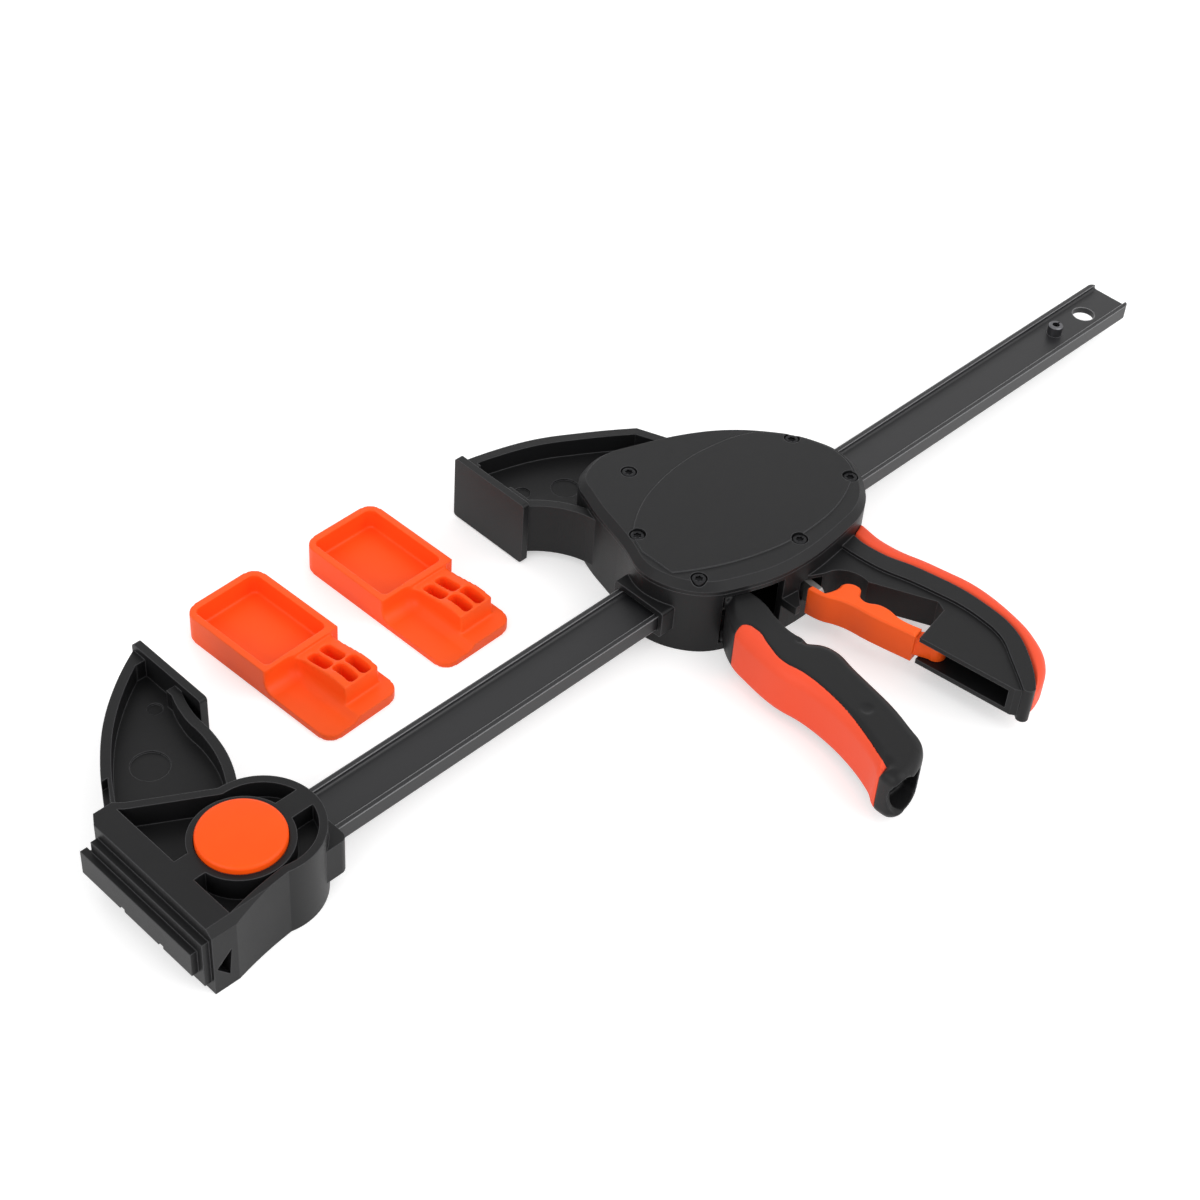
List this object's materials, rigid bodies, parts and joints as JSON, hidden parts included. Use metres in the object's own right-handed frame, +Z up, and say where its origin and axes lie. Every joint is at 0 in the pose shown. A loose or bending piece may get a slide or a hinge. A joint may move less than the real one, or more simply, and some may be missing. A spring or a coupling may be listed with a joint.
{
  "type": "quick release bar clamp",
  "caption": "One-handed quick release bar clamp: I-section bar, fixed jaw with push button, sliding jaw with trigger, release lever and two loose jaw pads.",
  "frame": {"origin": "middle of the bottom of the bounding box, on the surface that the clamp lies on", "axes": "+X along the bar towards its free end, +Y towards the jaw tips, +Z up from the surface it lies on"},
  "size_m": [0.565, 0.2638, 0.0366],
  "materials": {
    "bar_steel": "satin black coated steel",
    "pin_steel": "blued steel",
    "spring_steel": "bright spring wire",
    "plate_steel": "hardened steel plate",
    "screw_steel": "black oxide screws",
    "jaw_plastic": "fine-textured black glass-filled nylon",
    "cover_plastic": "fine-textured black nylon",
    "trigger_plastic": "fine-textured black nylon",
    "button_plastic": "satin orange plastic",
    "lever_plastic": "satin orange plastic",
    "soft_grip": "matt orange soft grip",
    "pad_rubber": "satin orange soft plastic"
  },
  "bodies": {
    "root": {"bar": "bar_steel", "stop_pin": "pin_steel", "fixed_jaw": "jaw_plastic", "latch_spring": "spring_steel"},
    "button": {"push_button": "button_plastic", "latch_pin": "pin_steel", "latch_clip": "pin_steel"},
    "sliding_jaw": {"housing": "jaw_plastic", "housing_cover": "cover_plastic", "cover_screws": "screw_steel", "handle_grip": "soft_grip", "trigger_pin": "pin_steel", "release_pin": "pin_steel", "drive_spring": "spring_steel", "brake_spring": "spring_steel"},
    "trigger": {"trigger": "trigger_plastic", "trigger_grip": "soft_grip"},
    "drive": {"drive_plate_front": "plate_steel", "drive_plate_rear": "plate_steel"},
    "release": {"release_lever": "lever_plastic"},
    "brake": {"brake_plate": "plate_steel"},
    "pad_a": {"jaw_pad_a": "pad_rubber"},
    "pad_b": {"jaw_pad_b": "pad_rubber"}
  },
  "joints": [
    {"name": "jaw_slide", "type": "slide", "parent": "root", "child": "sliding_jaw", "axis": [1, 0, 0], "range_m": [-0.0275, 0.1545]},
    {"name": "button_press", "type": "slide", "parent": "root", "child": "button", "axis": [0, 0, -1], "range_m": [0, 0.0033], "stiffness_N_per_m": 800, "springref_m": -0.004, "deforming": ["latch_spring"]},
    {"name": "trigger_squeeze", "type": "hinge", "parent": "sliding_jaw", "child": "trigger", "pos_m": [-0.0156, 0.03287, 0.0165], "axis": [0, 0, 1], "range_deg": [0, 14], "stiffness_Nm_per_rad": 1, "springref_deg": -17.19, "deforming": ["drive_spring"]},
    {"name": "drive_feed", "type": "slide", "parent": "sliding_jaw", "child": "drive", "axis": [1, 0, 0], "range_m": [0, 0.00697], "deforming": ["drive_spring"]},
    {"name": "release_press", "type": "hinge", "parent": "sliding_jaw", "child": "release", "pos_m": [0.0339, -0.08613, 0.0165], "axis": [0, 0, -1], "range_deg": [0, 5], "stiffness_Nm_per_rad": 0.5, "springref_deg": -5.73, "deforming": ["brake_spring"]},
    {"name": "brake_lean", "type": "hinge", "parent": "sliding_jaw", "child": "brake", "pos_m": [0.0229, 0.02787, 0.0165], "axis": [0, 0, 1], "range_deg": [0, 4.15], "deforming": ["brake_spring"]},
    {"name": "pad_a_lift", "type": "slide", "parent": "root", "child": "pad_a", "axis": [0, 0, 1], "range_m": [0, 0.05]},
    {"name": "pad_b_lift", "type": "slide", "parent": "root", "child": "pad_b", "axis": [0, 0, 1], "range_m": [0, 0.05]}
  ],
  "couplings": [
    {"joint": "drive_feed", "follows": "trigger_squeeze", "m_per_rad": 0.027722},
    {"joint": "brake_lean", "follows": "release_press", "ratio": 0.80952}
  ]
}
